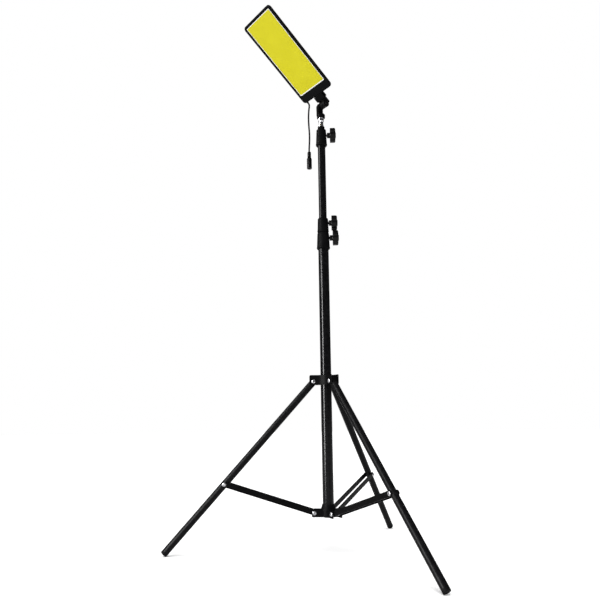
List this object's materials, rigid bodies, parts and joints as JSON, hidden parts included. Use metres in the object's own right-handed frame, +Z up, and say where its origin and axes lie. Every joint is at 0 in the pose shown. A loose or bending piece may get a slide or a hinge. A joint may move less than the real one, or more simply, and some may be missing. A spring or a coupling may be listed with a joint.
{
  "type": "tripod work light",
  "caption": "Folding tripod work light: telescoping column with clamp knobs, braced legs, and a swivelling, tilting flat LED head with a short hanging DC lead.",
  "frame": {"origin": "on the floor, under the axis of the column", "axes": "+Z up the column, +X the way the clamp knobs point, +Y to the rear of the view in which the lamp face is seen from the front"},
  "size_m": [0.5723, 0.6416, 1.2527],
  "materials": {
    "black_tube": "satin black anodised",
    "black_plastic": "fine moulded texture",
    "black_paint": "satin black paint",
    "zinc": "bright zinc plate",
    "chrome": "polished",
    "nylon": "natural nylon",
    "black_housing": "satin black anodised",
    "led_white": "white solder resist",
    "led_yellow": "soft silicone over phosphor",
    "black_rubber": "matt"
  },
  "bodies": {
    "base": {"base_tube": "black_tube", "base_plug": "black_plastic", "hub": "black_plastic", "hub_pins": "zinc", "collar_1": "black_plastic", "liner_1": "nylon"},
    "crown": {"crown": "black_plastic", "crown_bush": "nylon", "crown_pins": "zinc"},
    "crown_lock": {"lock_knob": "black_plastic", "lock_screw": "zinc"},
    "leg_1": {"leg_1_tube": "black_tube", "leg_1_eye": "black_plastic", "leg_1_foot": "black_rubber", "leg_1_pin": "zinc"},
    "leg_2": {"leg_2_tube": "black_tube", "leg_2_eye": "black_plastic", "leg_2_foot": "black_rubber", "leg_2_pin": "zinc"},
    "leg_3": {"leg_3_tube": "black_tube", "leg_3_eye": "black_plastic", "leg_3_foot": "black_rubber", "leg_3_pin": "zinc"},
    "stay_1": {"stay_1_bars": "black_paint", "stay_1_screws": "zinc"},
    "stay_2": {"stay_2_bars": "black_paint", "stay_2_screws": "zinc"},
    "stay_3": {"stay_3_bars": "black_paint", "stay_3_screws": "zinc"},
    "riser_2": {"tube_2": "black_tube", "plug_2": "nylon", "collar_2": "black_plastic", "liner_2": "nylon"},
    "riser_3": {"tube_3": "black_tube", "plug_3": "nylon", "collar_3": "black_plastic", "liner_3": "nylon"},
    "riser_4": {"tube_4": "black_tube", "plug_4": "nylon", "top_cap": "black_plastic", "spigot": "chrome"},
    "clamp_1": {"knob_1": "black_plastic", "knob_1_stud": "zinc"},
    "clamp_2": {"knob_2": "black_plastic", "knob_2_stud": "zinc"},
    "clamp_3": {"knob_3": "black_plastic", "knob_3_stud": "zinc"},
    "swivel": {"swivel_bracket": "black_paint", "hinge_bolt": "black_paint"},
    "head": {"tilt_bracket": "black_paint", "rim": "black_housing", "led_board": "led_white", "led_panel": "led_yellow", "heat_sink": "black_housing", "bracket_screws": "zinc", "case_screws": "zinc", "cord_gland": "black_rubber", "dc_cord": "black_rubber", "dc_socket": "black_plastic"}
  },
  "joints": [
    {"name": "crown_slide", "type": "slide", "parent": "base", "child": "crown", "axis": [0, 0, 1], "range_m": [0, 0.22534]},
    {"name": "leg_1_fold", "type": "hinge", "parent": "crown", "child": "leg_1", "pos_m": [-0.02887, -0.00134, 0.3776], "axis": [0.0462, -0.9989, 0], "range_deg": [0, 41.94]},
    {"name": "leg_2_fold", "type": "hinge", "parent": "crown", "child": "leg_2", "pos_m": [0.01559, -0.02433, 0.3776], "axis": [0.842, 0.5395, 0], "range_deg": [0, 41.94]},
    {"name": "leg_3_fold", "type": "hinge", "parent": "crown", "child": "leg_3", "pos_m": [0.01328, 0.02567, 0.3776], "axis": [-0.8882, 0.4594, 0], "range_deg": [0, 41.94]},
    {"name": "stay_1_fold", "type": "hinge", "parent": "base", "child": "stay_1", "pos_m": [-0.03127, -0.00145, 0.08936], "axis": [-0.0462, 0.9989, 0], "range_deg": [0, 73.37]},
    {"name": "stay_2_fold", "type": "hinge", "parent": "base", "child": "stay_2", "pos_m": [0.01689, -0.02635, 0.08936], "axis": [-0.842, -0.5395, 0], "range_deg": [0, 73.37]},
    {"name": "stay_3_fold", "type": "hinge", "parent": "base", "child": "stay_3", "pos_m": [0.01438, 0.0278, 0.08936], "axis": [0.8882, -0.4594, 0], "range_deg": [0, 73.37]},
    {"name": "crown_lock_turn", "type": "hinge", "parent": "crown", "child": "crown_lock", "pos_m": [-0.01349, 0.02105, 0.38145], "axis": [-0.5395, 0.842, 0], "range_deg": [0, 360]},
    {"name": "riser_2_slide", "type": "slide", "parent": "base", "child": "riser_2", "axis": [0, 0, 1], "range_m": [0, 0.54]},
    {"name": "riser_3_slide", "type": "slide", "parent": "riser_2", "child": "riser_3", "axis": [0, 0, 1], "range_m": [-0.191, 0.36]},
    {"name": "riser_4_slide", "type": "slide", "parent": "riser_3", "child": "riser_4", "axis": [0, 0, 1], "range_m": [0, 0.55]},
    {"name": "clamp_1_turn", "type": "hinge", "parent": "base", "child": "clamp_1", "pos_m": [0.03, 0, 0.7252], "axis": [1, 0, 0], "range_deg": [0, 360]},
    {"name": "clamp_2_turn", "type": "hinge", "parent": "riser_2", "child": "clamp_2", "pos_m": [0.03, 0, 0.7632], "axis": [1, 0, 0], "range_deg": [0, 360]},
    {"name": "clamp_3_turn", "type": "hinge", "parent": "riser_3", "child": "clamp_3", "pos_m": [0.03, 0, 0.9955], "axis": [1, 0, 0], "range_deg": [0, 360]},
    {"name": "head_swivel", "type": "hinge", "parent": "riser_4", "child": "swivel", "pos_m": [0, 0, 1.05], "axis": [0, 0, 1], "continuous": true},
    {"name": "head_tilt", "type": "hinge", "parent": "swivel", "child": "head", "pos_m": [0.00542, 0.00443, 1.0822], "axis": [0.6334, -0.7738, 0], "range_deg": [-90, 60]}
  ],
  "couplings": [
    {"joint": "leg_1_fold", "follows": "crown_slide", "rad_per_m": 3.2483},
    {"joint": "leg_2_fold", "follows": "crown_slide", "rad_per_m": 3.2483},
    {"joint": "leg_3_fold", "follows": "crown_slide", "rad_per_m": 3.2483},
    {"joint": "stay_1_fold", "follows": "crown_slide", "rad_per_m": 5.6823},
    {"joint": "stay_2_fold", "follows": "crown_slide", "rad_per_m": 5.6823},
    {"joint": "stay_3_fold", "follows": "crown_slide", "rad_per_m": 5.6823}
  ]
}
